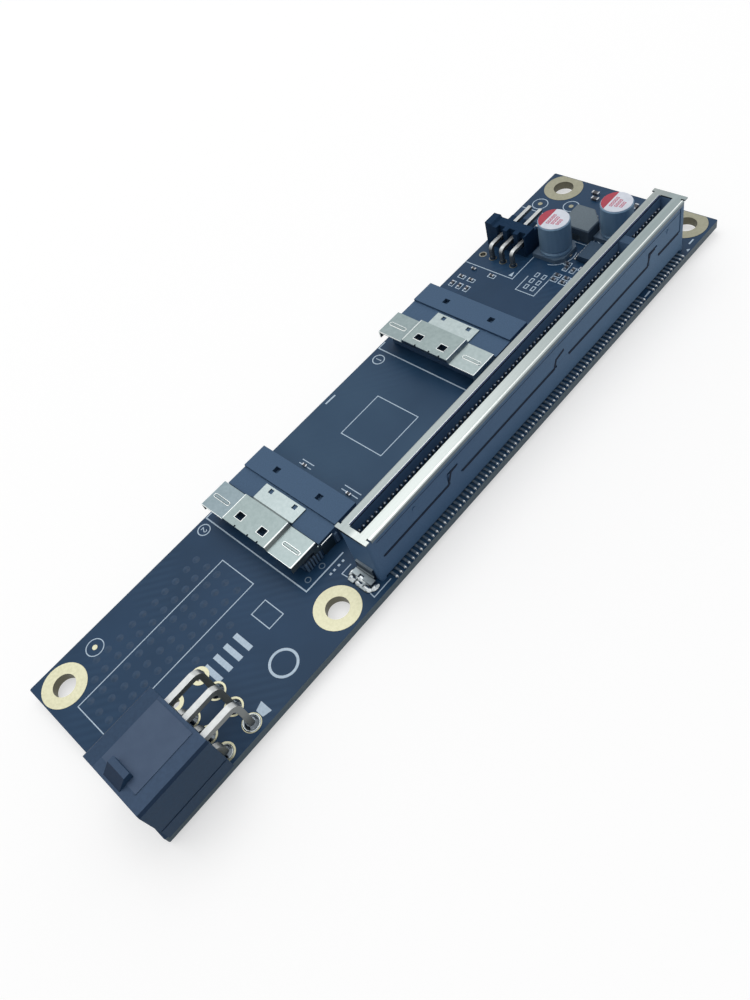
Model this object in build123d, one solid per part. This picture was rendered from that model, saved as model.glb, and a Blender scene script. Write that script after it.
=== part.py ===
from build123d import *
import os

# Adapter card with a card edge slot, two slim cable receptacles and two power headers.
# Lengths are millimetres. While it is modelled, x runs along the card from its near short
# edge, y runs across it from the long edge beside the slot, and z is height over the top
# face of the circuit board. The finished card is moved so that its origin is the centre
# of the underside of the board.

# Circuit board
board_length = 145.6
board_width = 37.4
board_thickness = 1.6
board_corner_radius = 0.3
hole_clearance = 0.1

# Plated mounting holes, measured from the nearest edges of the board or end of the slot
mounting_bore_radius = 2.05
mounting_pad_radius = 4.05
mounting_plating_wall = 0.2
mounting_side_margin = 4.6
near_hole_x = 4.3
slot_hole_gap = 7.65
far_hole_margin = 3.5
plating_wall = 0.06
pad_height = 0.05
pad_edge_inset = 0.15

# Card edge slot
contact_pitch = 1.0
contacts_before_key = 11
contacts_after_key = 71
key_gap = 3.0
slot_far_margin = 11.8
slot_centre_y = 4.75
slot_body_width = 6.24
slot_body_height = 11.0
slot_corner_radius = 0.5
slot_end_block = 2.1
slot_end_wall = 1.05
channel_width = 2.3
channel_floor = 3.2
key_width = 1.8
cavity_length = 0.6
cavity_depth = 0.9
cavity_top = 9.1
wall_lift = 0.45
floor_rib_width = 1.5
slot_post_radius = 0.65

# Stepped line moulded into the sides of the slot, and the ejector marks beside it
relief_depth = 0.22
relief_width = 0.45
relief_low = 5.1
relief_high = 7.5
relief_top = 9.8
relief_near_start = 2.25
relief_near_step = 18.2
relief_far_step = 11.75
relief_far_end = 1.5
relief_step_run = 2.4
relief_gap = 3.25
nub_radius = 0.4
nub_height = 0.12
nub_near = 10.2
nub_far = 5.65
nub_z = 8.05

# Spring contacts of the slot
contact_width = 0.4
contact_thickness = 0.25
contact_reach = 4.63
contact_tip_height = 9.0
contact_tip_offset = 0.95
contact_root_offset = 1.65

# Folded steel frame round the top of the slot
frame_thickness = 0.25
frame_clearance = 0.03
frame_skirt = 0.75
frame_inner_reach = 2.9
frame_cap_length = 0.85
frame_cap_reach_edge = 3.38
frame_cap_reach_inner = 3.22
frame_cap_notch = 0.35
frame_fold_radius = 0.2
frame_opening_width = 2.35
frame_opening_margin = 0.05

# Soldered hold-downs at the two ends of the slot
anchor_width = 3.7
anchor_foot_near = 3.0
anchor_foot_far = 2.0
anchor_rise = 2.6
anchor_thickness = 0.4
anchor_notch = 1.3

# Slim cable receptacles: mating faces from the far edge, and the size of their parts
receptacle_far_margins = [58.05, 104.95]
receptacle_side_margin = 12.8
receptacle_width = 23.0
receptacle_setback = 2.2
receptacle_nose_width = 21.8
receptacle_nose_height = 3.4
receptacle_front_length = 10.35
receptacle_length = 15.4
receptacle_lower_height = 3.7
receptacle_rear_height = 4.15
receptacle_lift = 0.1
mating_slot_width = 22.1
mating_slot_bottom = 1.25
mating_slot_height = 1.35
mating_slot_depth = 6.8
receptacle_contacts = 37
receptacle_pitch = 0.6
receptacle_contact_width = 0.22
receptacle_contact_thickness = 0.15
contact_start = 2.6
contact_clearance = 0.08
contact_foot = 0.75
receptacle_peg_radius = 0.6
receptacle_peg_spacing = 19.0
receptacle_peg_x = 8.2
rear_dimple = 1.2
rear_dimple_spacing = 10.7
rear_dimple_x = 12.8
rear_dimple_depth = 0.9

# Steel shell over each receptacle
shell_thickness = 0.25
shell_ear_top = 4.6
shell_centre_top = 5.35
shell_centre_width = 10.8
shell_step_run = 0.35
shell_length = 5.8
shell_drop = 1.5
shell_strap_start = 4.8
shell_strap_bottom = 2.2
shell_tab_start = 6.4
shell_tab_end = 9.0
shell_tab_top = 3.2
shell_notch_width = 0.35
shell_notch_depth = 0.3
shell_notch_offsets = [2.2, -1.1, -3.5]
shell_window_length = 1.45
shell_window_width = 1.75
shell_window_x = 2.05
shell_window_spacing = 5.6
shell_tongue_width = 9.9
shell_tongue_start = 6.5
shell_tongue_end = 9.85
shell_tongue_hole = 0.9
shell_tongue_hole_x = 9.05
shell_tongue_hole_spacing = 5.95
shell_rib_length = 3.8
shell_rib_width = 0.45
shell_rib_height = 0.16
shell_rib_x = 2.75
shell_rib_offset = 8.9

# Power inlet header
power_pitch = 4.2
power_columns = 3
power_footprint_columns = 4
power_row_spacing = 5.5
power_far_row_x = 19.5
power_first_column_y = 2.2
power_hole_radius = 0.9
power_pad_radius = 1.6
power_body_width = 13.8
power_body_front_x = 0.7
power_body_depth = 12.8
power_body_lift = 0.3
power_body_height = 9.7
power_body_chamfer = 0.4
power_wall = 0.75
power_cell_depth = 9.6
power_cell_corner = 0.7
power_solder_room = 0.8
power_latch_width = 3.9
power_latch_height = 1.4
power_latch_start = 0.3
power_latch_run = 2.1
power_latch_land = 1.0
power_platform_width = 8.2
power_platform_height = 0.1
power_platform_front = 1.6
power_platform_back = 0.6
power_groove_height = 2.9
power_groove_size = 0.35
pin_thickness = 1.07
pin_clearance = 0.04
pin_bend_radius = 0.75
pin_tail = 1.0
pin_start_x = 3.6

# Solder fillets round the tails of soldered pins
solder_spread = 0.75
solder_top_spread = 0.8
solder_rise = 0.55
solder_neck = 0.72

# Auxiliary three pin header at the far end
aux_pitch = 2.54
aux_pins = 3
aux_footprint = 4
aux_side_margin = 9.6
aux_far_margin = 27.8
aux_body_gap = 3.1
aux_body_depth = 3.2
aux_body_height = 5.0
aux_body_margin = 1.03
aux_pin_height = 3.0
aux_pin_size = 0.75
aux_pin_length = 13.2
aux_pin_bend_radius = 0.4
aux_hole_radius = 0.55
aux_pad_radius = 0.8
aux_notch_width = 1.5
aux_notch_depth = 1.0
aux_notch_drop = 0.8
aux_shelf_length = 5.2
aux_shelf_height = 1.2
aux_end_wall = 0.6
aux_end_wall_reach = 1.2
aux_end_wall_height = 4.3
aux_block_width = 2.0
aux_block_height = 5.45
aux_block_bevel = 0.5

# Can capacitors: centres from the far edge and the slot edge, and the size of can and base
capacitor_places = [(20.6, 22.55), (11.5, 14.6)]
capacitor_can_diameter = 6.3
capacitor_height = 7.7
capacitor_base_side = 6.6
capacitor_base_height = 0.9
capacitor_base_corner = 1.3
capacitor_lead_width = 0.7
capacitor_lead_reach = 0.2
capacitor_lead_thickness = 0.2
capacitor_neck = 0.2

# Moulded inductor
inductor_far_margin = 13.0
inductor_y = 21.4
inductor_length = 6.5
inductor_width = 6.8
inductor_height = 3.0
inductor_cut = 2.7
inductor_rim = 0.2
inductor_lift = 0.05
inductor_terminal_width = 2.6
inductor_terminal_thickness = 0.25
inductor_terminal_rise = 1.5
inductor_terminal_fold = 1.8

# Voltage regulator between the capacitors and the slot
regulator_far_margin = 19.0
regulator_y = 15.2
regulator_length = 4.9
regulator_width = 3.9
regulator_height = 1.5
regulator_lift = 0.12
regulator_pitch = 1.27
regulator_leads = 4
regulator_lead_width = 0.42
regulator_lead_reach = 1.0
regulator_lead_thickness = 0.15
regulator_draft = 0.12

# Chip resistors and capacitors: length, width, height and end cap of the two sizes
large_chip = (1.6, 0.8, 0.55, 0.3)
small_chip = (1.0, 0.5, 0.4, 0.22)
chip_gap = 0.03

# Distance from the far edge, y, and whether the long side runs along the card
large_chip_places = [(2.6, 25.5, False), (4.2, 24.6, False), (3.2, 15.9, True)]
small_chip_places = [
    (22.7, 18.4, False), (22.9, 14.9, False), (23.9, 16.4, True), (23.9, 18.0, True),
    (26.3, 18.3, False), (27.6, 18.3, False), (26.3, 16.2, False), (27.6, 16.2, False),
    (28.4, 14.0, True), (26.6, 14.0, True), (37.4, 35.7, True), (37.4, 33.9, True),
    (37.4, 32.1, True), (35.0, 35.2, False), (35.0, 32.8, False), (32.2, 34.3, False),
    (32.2, 29.8, False), (87.2, 29.5, False), (87.4, 18.2, False),
]

# Round alignment marks of bare plated copper, from the near or far edge and the cable side
mark_radius = 0.48
near_mark_places = [(11.7, 3.4)]
far_mark_places = [(9.8, 3.15), (7.9, 9.5)]


def block(x0, x1, y0, y1, z0, z1):
    """A rectangular block between pairs of limits."""
    return Pos((x0 + x1) / 2, (y0 + y1) / 2, (z0 + z1) / 2) * Box(x1 - x0, y1 - y0, z1 - z0)


def rod(radius, x, y, z0, z1):
    """An upright cylinder between two heights."""
    return Pos(x, y, (z0 + z1) / 2) * Cylinder(radius, z1 - z0)


def plate_xz(points, y, width):
    """An outline in x and z, extruded to a width that is centred on y."""
    face = Pos(0, y, 0) * (Plane.XZ * make_face(Polyline(*points, close=True)))
    return extrude(face, amount=width / 2, both=True)


def plate_yz(points, x, width):
    """An outline in y and z, extruded to a width that is centred on x."""
    face = Pos(x, 0, 0) * (Plane.YZ * make_face(Polyline(*points, close=True)))
    return extrude(face, amount=width / 2, both=True)


def copies(shape, places):
    """The same solid at each place of a list."""
    return [shape.moved(Location(place)) for place in places]


def copies_of(shapes, place):
    """Several solids, moved together to one place."""
    return [shape.moved(Location(place)) for shape in shapes]


def all_solids(shapes):
    """Every solid in a list of shapes, as one group."""
    return Compound(children=[solid for shape in shapes for solid in shape.solids()])


def save(name, shape):
    """Write one named piece, moved into the frame of the finished card."""
    to_card = Location((-board_length / 2, -board_width / 2, board_thickness))
    export_step(shape.moved(to_card), f"parts/{name}.step")


# Places that several pieces share
far_group_x = board_length - slot_far_margin - (contacts_before_key - 1) * contact_pitch
near_group_end_x = far_group_x - key_gap
slot_contact_xs = [near_group_end_x - i * contact_pitch for i in range(contacts_after_key)][::-1]
slot_contact_xs += [far_group_x + i * contact_pitch for i in range(contacts_before_key)]
slot_near_x = slot_contact_xs[0] - slot_end_block
slot_far_x = slot_contact_xs[-1] + slot_end_block
key_x = far_group_x - key_gap / 2
slot_post_places = [(slot_contact_xs[6], slot_centre_y), (key_x, slot_centre_y)]
mounting_places = [
    (near_hole_x, board_width - mounting_side_margin),
    (slot_near_x - slot_hole_gap, mounting_side_margin),
    (board_length - far_hole_margin, board_width - mounting_side_margin),
    (board_length - far_hole_margin, mounting_side_margin),
]
power_near_row_x = power_far_row_x - power_row_spacing
power_column_ys = [power_first_column_y + i * power_pitch for i in range(power_columns)]
power_footprint_ys = [
    power_first_column_y + i * power_pitch for i in range(power_footprint_columns)
]
power_places = [(x, y) for x in (power_near_row_x, power_far_row_x) for y in power_footprint_ys]
aux_first_y = board_width - aux_side_margin
aux_foot_x = board_length - aux_far_margin
aux_ys = [aux_first_y + i * aux_pitch for i in range(aux_pins)]
aux_places = [(aux_foot_x, aux_first_y + i * aux_pitch) for i in range(aux_footprint)]
receptacle_fronts = [board_length - margin for margin in receptacle_far_margins]
receptacle_centre_y = board_width - receptacle_side_margin
receptacle_peg_places = [
    (front + receptacle_peg_x, receptacle_centre_y + side * receptacle_peg_spacing / 2)
    for front in receptacle_fronts for side in (-1, 1)
]
mark_places = [(x, board_width - y) for x, y in near_mark_places]
mark_places += [(board_length - x, board_width - y) for x, y in far_mark_places]


def circuit_board():
    """The board with its rounded corners and every drilled hole."""
    outline = RectangleRounded(board_length, board_width, board_corner_radius)
    middle = Pos(board_length / 2, board_width / 2, -board_thickness)
    board = middle * extrude(outline, amount=board_thickness)
    drills = [(mounting_bore_radius + mounting_plating_wall, mounting_places),
              (power_hole_radius + plating_wall, power_places),
              (aux_hole_radius + plating_wall, aux_places),
              (slot_post_radius + hole_clearance, slot_post_places),
              (receptacle_peg_radius + hole_clearance, receptacle_peg_places)]
    cutters = [rod(radius, x, y, -board_thickness - 1, 1) for radius, places in drills
               for x, y in places]
    return board - cutters


def plated_hole(bore_radius, ring_radius, wall):
    """A plated barrel with a flat ring on each face of the board."""
    outside = rod(bore_radius + wall, 0, 0, -board_thickness, 0)
    for low in (-board_thickness - pad_height, 0):
        outside += rod(ring_radius, 0, 0, low, low + pad_height)
    return outside - rod(bore_radius, 0, 0, -board_thickness - 1, 1)


def plated_holes(bore_radius, ring_radius, wall, places):
    """Like plated holes at a list of places, trimmed where a ring meets the board's edge."""
    room = block(pad_edge_inset, board_length - pad_edge_inset,
                 pad_edge_inset, board_width - pad_edge_inset, -board_thickness - 1, 1)
    ring = plated_hole(bore_radius, ring_radius, wall)
    return all_solids([hole & room for hole in copies(ring, [(x, y, 0) for x, y in places])])


def slot_housing():
    """The moulded body: a channel for a card edge, with one cavity for each contact."""
    half = slot_body_width / 2
    inner = channel_width / 2
    centre = slot_centre_y
    body = block(slot_near_x, slot_far_x, centre - half, centre + half, 0, slot_body_height)
    body = fillet(body.edges().filter_by(Axis.Z), slot_corner_radius)
    channel_near = slot_near_x + slot_end_wall
    channel_far = slot_far_x - slot_end_wall
    rebate = frame_inner_reach - frame_thickness - frame_clearance
    rebate_bottom = slot_body_height + frame_thickness - frame_skirt
    cuts = [
        block(channel_near, key_x - key_width / 2, centre - inner, centre + inner,
              channel_floor, slot_body_height + 1),
        block(key_x + key_width / 2, channel_far, centre - inner, centre + inner,
              channel_floor, slot_body_height + 1),
        block(slot_near_x - 1, slot_far_x + 1, centre + rebate, centre + half + 1,
              rebate_bottom, slot_body_height + 1),
    ]
    for side in (-1, 1):
        edges = sorted((centre + side * (half + 1), centre + side * floor_rib_width / 2))
        cuts.append(block(channel_near, channel_far, *edges, -1, wall_lift))
        edges = sorted((centre + side * floor_rib_width / 2,
                        centre + side * (inner + cavity_depth)))
        for x in slot_contact_xs:
            cuts.append(block(x - cavity_length / 2, x + cavity_length / 2, *edges,
                              wall_lift / 2, cavity_top))
        cuts += side_relief(side)
    body -= cuts
    for x, y in slot_post_places:
        body += rod(slot_post_radius, x, y, -board_thickness + hole_clearance, wall_lift / 2)
    lying = Rot(90, 0, 0) * Cylinder(nub_radius, 2 * nub_height)
    for x in (slot_near_x + nub_near, slot_far_x - nub_far):
        body += Pos(x, centre - half, nub_z) * lying
    return body


def side_relief(side):
    """Cutters for the stepped line that is moulded into each long side of the slot."""
    near_step = slot_near_x + relief_near_step
    far_step = slot_far_x - relief_far_step
    far_end = slot_far_x - relief_far_end
    paths = [
        [(slot_near_x + relief_near_start, relief_low), (near_step, relief_low),
         (near_step, relief_high), (near_step + relief_step_run, relief_high)],
        [(near_step + relief_gap, relief_low), (far_step, relief_low),
         (far_step, relief_high), (far_step + relief_step_run, relief_high)],
        [(far_step + relief_gap, relief_low), (far_end, relief_low), (far_end, relief_top)],
    ]
    face = slot_centre_y + side * slot_body_width / 2
    edges = sorted((face - side * relief_depth, face + side))
    grow = relief_width / 2
    cutters = []
    for path in paths:
        for (x0, z0), (x1, z1) in zip(path, path[1:]):
            cutters.append(block(min(x0, x1) - grow, max(x0, x1) + grow, *edges,
                                 min(z0, z1) - grow, max(z0, z1) + grow))
    return cutters


def slot_contacts(side):
    """One row of spring contacts, each a foot on the board and a leaning spring."""
    t = contact_thickness
    outline = [
        (contact_reach, 0), (contact_reach, t), (contact_root_offset + t, t),
        (contact_tip_offset + t, contact_tip_height), (contact_tip_offset, contact_tip_height),
        (contact_root_offset, 0),
    ]
    points = [(slot_centre_y + side * y, z) for y, z in outline]
    contact = plate_yz(points, 0, contact_width)
    return all_solids(copies(contact, [(x, 0, 0) for x in slot_contact_xs]))


def slot_frame():
    """Folded steel round the top of the slot, with wider caps at its two ends."""
    t = frame_thickness
    centre = slot_centre_y
    inside_edge = slot_body_width / 2 + frame_clearance
    inside_inner = frame_inner_reach - t
    top = slot_body_height + frame_clearance + t
    bottom = top - frame_skirt
    near = slot_near_x - frame_clearance - t
    far = slot_far_x + frame_clearance + t
    frame = block(near, far, centre - inside_edge - t, centre + frame_inner_reach, bottom, top)
    frame = fillet(frame.edges().filter_by(Axis.X).group_by(Axis.Z)[-1], frame_fold_radius)
    opening = frame_opening_width / 2
    cuts = [
        block(near + t, far - t, centre - inside_edge, centre + inside_inner, bottom - 1, top - t),
        block(slot_near_x + slot_end_wall - frame_opening_margin,
              slot_far_x - slot_end_wall + frame_opening_margin,
              centre - opening, centre + opening, top - 2 * t, top + 1),
    ]
    end = frame_cap_length + frame_cap_notch
    for x0, x1 in ((near - 1, near + end), (far - end, far + 1)):
        cuts.append(block(x0, x1, centre - inside_edge - 1, centre - inside_inner,
                          bottom - 1, top + 1))
        cuts.append(block(x0, x1, centre + inside_inner, centre + frame_inner_reach + 1,
                          bottom - 1, top + 1))
    frame -= cuts
    for x0, x1 in ((near, near + frame_cap_length), (far - frame_cap_length, far)):
        frame += block(x0, x1, centre - frame_cap_reach_edge, centre + frame_cap_reach_inner,
                       top - t, top)
    return frame


def slot_anchor(end_x, outward, reach):
    """A hold-down pressed against the end of the slot, with a notched foot to solder."""
    t = anchor_thickness
    y0 = slot_centre_y - anchor_width / 2
    y1 = slot_centre_y + anchor_width / 2
    points = [(end_x, 0), (end_x + outward * reach, 0), (end_x + outward * reach, t),
              (end_x + outward * 2.2 * t, t), (end_x + outward * t, 2.2 * t),
              (end_x + outward * t, anchor_rise), (end_x, anchor_rise)]
    anchor = plate_xz(points, slot_centre_y, anchor_width)
    foot = sorted((end_x + outward * 3 * t, end_x + outward * (reach + 1)))
    middle = (y0 + y1) / 2
    return anchor - block(*foot, middle - anchor_notch / 2, middle + anchor_notch / 2, -1, 2 * t)


def contact_span():
    """Half the width of a row of receptacle contacts, with room at its two ends."""
    return receptacle_pitch * (receptacle_contacts - 1) / 2 + receptacle_contact_width


def receptacle_housing():
    """The front moulding with its mating slot, with the mating face of the shell at x = 0."""
    half = receptacle_width / 2
    nose = receptacle_nose_width / 2
    tier_start = shell_length + shell_step_run
    body = block(receptacle_setback, tier_start, -nose, nose,
                 receptacle_lift, receptacle_nose_height)
    body += block(tier_start, receptacle_front_length, -half, half,
                  receptacle_lift, receptacle_lower_height)
    for side in (-1, 1):
        body += rod(receptacle_peg_radius, receptacle_peg_x, side * receptacle_peg_spacing / 2,
                    -board_thickness + hole_clearance, receptacle_lift)
    upper = mating_slot_bottom + mating_slot_height
    thickness = receptacle_contact_thickness
    span = contact_span()
    back = mating_slot_depth + thickness
    cuts = [
        block(-1, mating_slot_depth, -mating_slot_width / 2, mating_slot_width / 2,
              mating_slot_bottom, upper),
        block(contact_start, receptacle_front_length + 1, -span, span, upper,
              upper + thickness + contact_clearance),
        block(contact_start, back + contact_clearance, -span, span,
              mating_slot_bottom - thickness, mating_slot_bottom + thickness),
        block(mating_slot_depth, back + contact_clearance, -span, span, -1, mating_slot_bottom),
    ]
    for side in (-1, 1):
        wall = sorted((side * (half - shell_thickness - frame_clearance), side * (half + 1)))
        cuts.append(block(tier_start - 1, shell_tab_end + frame_clearance, *wall,
                          -1, shell_tab_top + frame_clearance))
    return body - cuts


def receptacle_rear_cover():
    """The taller moulding that closes the back, with two square core holes in its top."""
    half = receptacle_width / 2
    upper = mating_slot_bottom + mating_slot_height
    span = contact_span()
    cover = block(receptacle_front_length, receptacle_length, -half, half,
                  receptacle_lift, receptacle_rear_height)
    cuts = [block(receptacle_front_length - 1, receptacle_length + 1, -span, span,
                  upper, upper + receptacle_contact_thickness + contact_clearance)]
    for side in (-1, 1):
        y = side * rear_dimple_spacing / 2
        cuts.append(block(rear_dimple_x - rear_dimple / 2, rear_dimple_x + rear_dimple / 2,
                          y - rear_dimple / 2, y + rear_dimple / 2,
                          receptacle_rear_height - rear_dimple_depth,
                          receptacle_rear_height + 1))
    return cover - cuts


def receptacle_shell():
    """The folded steel shell: two ears, a raised latch arch and a tongue at the back."""
    t = shell_thickness
    half = receptacle_width / 2
    ear = shell_ear_top
    top = shell_centre_top
    arch = shell_centre_width / 2
    foot = arch + shell_step_run
    upper = [(-half, ear), (-foot, ear), (-arch, top), (arch, top), (foot, ear), (half, ear)]
    lower = [(half, ear - t), (foot - t / 2, ear - t), (arch - t / 2, top - t),
             (-arch + t / 2, top - t), (-foot + t / 2, ear - t), (-half, ear - t)]
    shell = plate_yz(upper + lower, shell_length / 2, shell_length)
    for side in (-1, 1):
        wall = sorted((side * half, side * (half - t)))
        shell += block(0, shell_length, *wall, ear - shell_drop, ear)
        shell += block(shell_strap_start, shell_tab_end, *wall, shell_strap_bottom, shell_tab_top)
        shell += block(shell_tab_start, shell_tab_end, *wall, 0, shell_tab_top)
        rib = block(shell_rib_x - shell_rib_width / 2, shell_rib_x + shell_rib_width / 2,
                    side * shell_rib_offset - shell_rib_length / 2,
                    side * shell_rib_offset + shell_rib_length / 2,
                    ear - t / 2, ear + shell_rib_height)
        shell += chamfer(rib.edges().group_by(Axis.Z)[-1], shell_rib_height * 0.7)
    tongue = shell_tongue_width / 2
    seat = receptacle_lower_height
    fold = t * 0.6
    run = [(shell_length, top), (shell_tongue_start, seat + t), (shell_tongue_end, seat + t),
           (shell_tongue_end, seat), (shell_tongue_start - fold, seat),
           (shell_length - fold, top - t), (shell_length - 2 * t, top - t),
           (shell_length - 2 * t, top)]
    shell += plate_xz(run, 0, 2 * tongue)
    cuts = []
    for side in (-1, 1):
        y = side * shell_window_spacing / 2
        cuts.append(block(shell_window_x - shell_window_length / 2,
                          shell_window_x + shell_window_length / 2,
                          y - shell_window_width / 2, y + shell_window_width / 2,
                          top - 2 * t, top + 1))
        y = side * shell_tongue_hole_spacing / 2
        grow = shell_tongue_hole / 2
        cuts.append(block(shell_tongue_hole_x - grow, shell_tongue_hole_x + grow,
                          y - grow, y + grow, seat - 1, seat + 1))
    for y in shell_notch_offsets:
        cuts.append(block(-1, shell_notch_depth, y - shell_notch_width / 2,
                          y + shell_notch_width / 2, top - 2 * t, top + 1))
    return shell - cuts


def receptacle_contact_row(outline):
    """A row of like contacts, from one outline in x and z."""
    contact = plate_xz(outline, 0, receptacle_contact_width)
    first = -receptacle_pitch * (receptacle_contacts - 1) / 2
    places = [(0, first + i * receptacle_pitch, 0) for i in range(receptacle_contacts)]
    return all_solids(copies(contact, places))


def upper_contacts():
    """Contacts over the mating slot, which leave at the back and drop to the board."""
    t = receptacle_contact_thickness
    z = mating_slot_bottom + mating_slot_height
    start = contact_start + contact_clearance
    back = receptacle_length + contact_clearance
    toe = back + t + contact_foot
    return receptacle_contact_row([(start, z), (back, z), (back, 0), (toe, 0), (toe, t),
                                   (back + t, t), (back + t, z + t), (start, z + t)])


def lower_contacts():
    """Contacts under the mating slot, which drop to the board behind it."""
    t = receptacle_contact_thickness
    z = mating_slot_bottom
    start = contact_start + contact_clearance
    back = mating_slot_depth
    return receptacle_contact_row([(start, z - t), (back, z - t), (back, 0), (back + t, 0),
                                   (back + t, z), (start, z)])


def power_cells():
    """Centres of the six cells in y and z, for the two rows of three."""
    middle = power_body_lift + power_body_height / 2
    rows = (middle - power_pitch / 2, middle + power_pitch / 2)
    return [(y, z) for z in rows for y in power_column_ys]


def power_header_housing():
    """The black moulding with six cells, a latch ramp on top and bevelled top edges."""
    front = power_body_front_x
    back = front + power_body_depth
    middle_y = power_first_column_y + power_pitch * (power_columns - 1) / 2
    y0 = middle_y - power_body_width / 2
    y1 = middle_y + power_body_width / 2
    top = power_body_lift + power_body_height
    body = block(front, back, y0, y1, power_body_lift, top)
    body = chamfer(body.edges().filter_by(Axis.X).group_by(Axis.Z)[-1], power_body_chamfer)
    half = (power_pitch - power_wall) / 2
    cell = block(front - 1, front + power_cell_depth, -half, half, -half, half)
    keyed = chamfer(cell.edges().filter_by(Axis.X).group_by(Axis.Z)[-1], power_cell_corner)
    relief = pin_thickness / 2 + pin_clearance
    shaft = block(front, back + 1, -relief, relief, -relief, relief)
    bend_start = power_near_row_x - pin_thickness / 2 - pin_bend_radius - pin_clearance
    cuts = []
    for i, (y, z) in enumerate(power_cells()):
        cuts += [(keyed if i % 2 else cell).moved(Location((0, y, z))),
                 shaft.moved(Location((0, y, z)))]
        if i < power_columns:
            cuts.append(block(bend_start, back + 1, y - relief, y + relief, 0, z + relief))
            cuts.append(block(power_near_row_x - power_pad_radius, back + 1, y - power_pad_radius,
                              y + power_pad_radius, 0, power_solder_room))
    groove = power_groove_size
    for y in (y0, y1):
        cuts.append(block(front - 1, back + 1, y - groove / 2, y + groove / 2,
                          power_groove_height, power_groove_height + groove))
    body -= cuts
    sunk = top - power_platform_height
    body += block(front + power_platform_front, back - power_platform_back,
                  middle_y - power_platform_width / 2, middle_y + power_platform_width / 2,
                  sunk, top + power_platform_height)
    ramp_end = front + power_latch_run
    ramp = [(front + power_latch_start, sunk), (ramp_end, top + power_latch_height),
            (ramp_end + power_latch_land, top + power_latch_height),
            (ramp_end + power_latch_land, sunk)]
    return body + plate_xz(ramp, middle_y, power_latch_width)


def bent_pin(start_x, bend_x, bar_z, end_z, thickness, radius):
    """A square pin that runs along x, bends down at bend_x and ends in the board."""
    half = thickness / 2
    points = [(start_x, bar_z - half), (bend_x - half, bar_z - half), (bend_x - half, end_z),
              (bend_x + half, end_z), (bend_x + half, bar_z + half), (start_x, bar_z + half)]
    pin = plate_xz(points, 0, thickness)
    bends = pin.edges().filter_by(Axis.Y)
    outer = bends.sort_by_distance((bend_x + half, 0, bar_z + half))[0]
    pin = fillet(outer, radius + thickness)
    inner = pin.edges().filter_by(Axis.Y).sort_by_distance((bend_x - half, 0, bar_z - half))[0]
    return fillet(inner, radius)


def solder_joint(pin_size, base_radius, up):
    """A fillet of solder between a pin and its ring, on top or below the board."""
    face = board_thickness / 2 + pad_height
    middle = face + solder_rise / 2
    cone = Cone(base_radius, pin_size * solder_neck, solder_rise)
    turned = cone if up else Rot(180, 0, 0) * cone
    joint = Pos(0, 0, (middle if up else -middle) - board_thickness / 2) * turned
    return joint - Box(pin_size, pin_size, 4 * middle + board_thickness)


def solder_joints(pin_size, ring_radius, places):
    """The solder on both faces of the board round each pin of a header."""
    pair = [solder_joint(pin_size, ring_radius * solder_spread, False),
            solder_joint(pin_size, ring_radius * solder_top_spread, True)]
    return all_solids([joint for x, y in places
                       for joint in copies_of(pair, (x, y, 0))])


def aux_header_housing():
    """The small moulding with a notch for each pin and a shelf under the mating ends."""
    y0 = aux_first_y - aux_body_margin
    y1 = aux_first_y + aux_pitch * (aux_footprint - 1) + aux_body_margin
    x0 = aux_foot_x + aux_body_gap
    x1 = x0 + aux_body_depth
    body = block(x0, x1, y0, y1, 0, aux_body_height)
    end_block = block(x0, x1, y1 - aux_block_width, y1, 0, aux_block_height)
    body += chamfer(end_block.edges().filter_by(Axis.X).group_by(Axis.Z)[-1].sort_by(Axis.Y)[0],
                    aux_block_bevel)
    body += block(x1, x1 + aux_shelf_length, y0, y1, 0, aux_shelf_height)
    for wall in (y0, y1 - aux_end_wall):
        body += block(x1, x1 + aux_end_wall_reach, wall, wall + aux_end_wall,
                      0, aux_end_wall_height)
    half = aux_notch_width / 2
    room = aux_pin_size / 2 + pin_clearance
    cuts = []
    for y in aux_ys:
        cuts.append(block(x0 - 1, x0 + aux_notch_depth, y - half, y + half,
                          aux_pin_height - aux_notch_drop, aux_block_height + 1))
        cuts.append(block(x0 - 1, x1 + 1, y - room, y + room, aux_pin_height - room,
                          aux_pin_height + room))
    return body - cuts


def capacitor_base():
    """The square plastic base, with two cut corners that show its polarity."""
    side = capacitor_base_side / 2
    cut = capacitor_base_corner
    base = block(-side, side, -side, side, 0, capacitor_base_height)
    corners = base.edges().filter_by(Axis.Z).group_by(Axis.Y)[0]
    base = chamfer(corners, cut)
    seat = rod(capacitor_can_diameter / 2 - 0.3, 0, 0, capacitor_base_height - 0.2,
               capacitor_base_height + 1)
    lead = capacitor_lead_width / 2 + 0.05
    slot = block(-lead, lead, -side - 1, side + 1, -1, capacitor_lead_thickness)
    return base - [seat, slot]


def capacitor_can():
    """The drawn aluminium can, with its rolled neck over the base."""
    radius = capacitor_can_diameter / 2
    bottom = capacitor_base_height - 0.2
    neck_z = capacitor_base_height + 0.9
    top = capacitor_height
    neck = radius - capacitor_neck
    inner = radius - 0.3
    points = [(0, bottom), (inner, bottom), (inner, capacitor_base_height),
              (radius, capacitor_base_height), (radius, neck_z - 0.35), (neck, neck_z),
              (radius, neck_z + 0.35), (radius, top - 0.25), (radius - 0.25, top), (0, top)]
    return revolve(Plane.XZ * make_face(Polyline(*points, close=True)), Axis.Z)


def capacitor_leads():
    """Two flat tinned leads that come out under the base."""
    outer = capacitor_base_side / 2 + capacitor_lead_reach
    half = capacitor_lead_width / 2
    return [block(-half, half, 0.6, outer, 0, capacitor_lead_thickness),
            block(-half, half, -outer, -0.6, 0, capacitor_lead_thickness)]


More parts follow.
